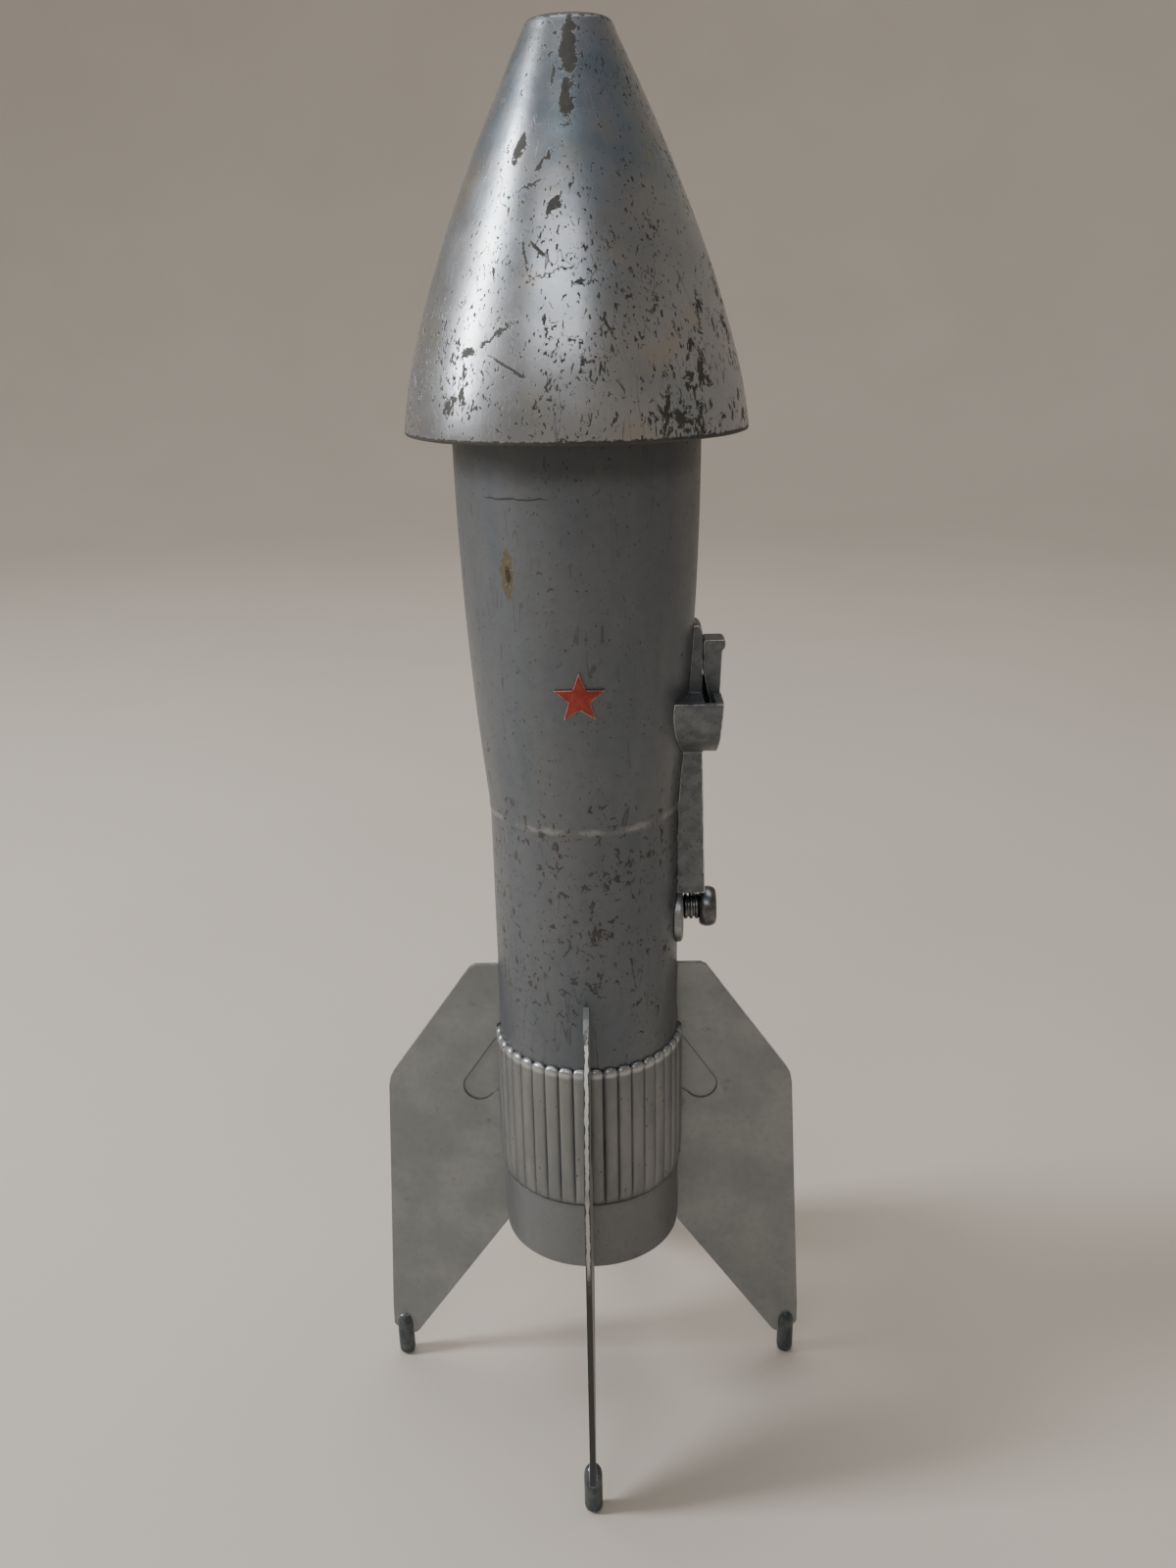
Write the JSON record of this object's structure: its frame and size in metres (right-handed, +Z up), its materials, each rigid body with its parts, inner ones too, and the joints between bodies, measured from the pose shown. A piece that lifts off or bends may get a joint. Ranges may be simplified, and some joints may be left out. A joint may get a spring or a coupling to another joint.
{
  "type": "coin-shooting toy rocket bank",
  "caption": "Die-cast toy rocket standing on fins with feet; a sprung striker shoots a coin from a side cup up into its hollow nose, and a locked trap in the tail lets coins out.",
  "frame": {"origin": "centre of the footprint, on the surface that the feet stand on", "axes": "+Z up along the rocket towards its tip, +X towards the coin launcher, -Y towards the badge"},
  "size_m": [0.099, 0.099, 0.292],
  "materials": {
    "nose_paint": "worn glossy silver paint, chipped to dark metal",
    "body_paint": "worn satin silver-grey paint, small chips",
    "collar_paint": "worn satin silver-grey paint, bright rib tops",
    "fin_paint": "matt grey-green paint, worn bright edges",
    "foot_metal": "dark blue-grey worn metal",
    "launcher_paint": "dark grey paint over a rough casting",
    "bright_metal": "plated, dulled by handling",
    "knob_steel": "dark plated steel, rubbed bright on its rim",
    "badge_paint": "worn red enamel",
    "inner_metal": "bare zinc casting",
    "trap_metal": "dull plated steel",
    "screw_steel": "dark steel",
    "spring_steel": "bright spring steel",
    "brass": "dull brass"
  },
  "bodies": {
    "rocket": {"nose_cone": "nose_paint", "nose_floor": "inner_metal", "nose_bridge": "inner_metal", "nose_screw": "screw_steel", "body_front_half": "body_paint", "body_back_half": "body_paint", "tail_collar": "collar_paint", "fin_right": "fin_paint", "fin_back": "fin_paint", "fin_left": "fin_paint", "fin_front": "fin_paint", "foot_right": "foot_metal", "foot_back": "foot_metal", "foot_left": "foot_metal", "foot_front": "foot_metal", "launcher_casting": "launcher_paint", "launcher_screws": "screw_steel", "slot_plate": "bright_metal", "badge_star": "badge_paint", "keeper_pin": "screw_steel", "keeper_spring": "spring_steel", "rail_bush": "brass", "striker_spring": "spring_steel", "trap_seat": "inner_metal"},
    "striker": {"striker_rod": "spring_steel", "pull_knob": "knob_steel", "knob_washer": "screw_steel"},
    "keeper": {"coin_keeper": "launcher_paint"},
    "trap": {"trap_door": "trap_metal", "lock_housing": "bright_metal"},
    "lock": {"lock_barrel": "brass", "lock_cam": "screw_steel", "cam_nut": "screw_steel"}
  },
  "joints": [
    {"name": "knob_pull", "type": "slide", "parent": "rocket", "child": "striker", "axis": [0, 0, 1], "range_m": [-0.0045, 0], "stiffness_N_per_m": 600, "springref_m": 0.002, "deforming": ["striker_spring"]},
    {"name": "keeper_swing", "type": "hinge", "parent": "rocket", "child": "keeper", "pos_m": [0.02745, 0, 0.1656], "axis": [0, 1, 0], "range_deg": [0, 15], "stiffness_Nm_per_rad": 0.02, "springref_deg": -11.46},
    {"name": "trap_out", "type": "slide", "parent": "rocket", "child": "trap", "axis": [0, 0, -1], "range_m": [0, 0.03]},
    {"name": "lock_turn", "type": "hinge", "parent": "trap", "child": "lock", "pos_m": [0, 0, 0.045], "axis": [0, 0, 1], "range_deg": [0, 90]}
  ]
}
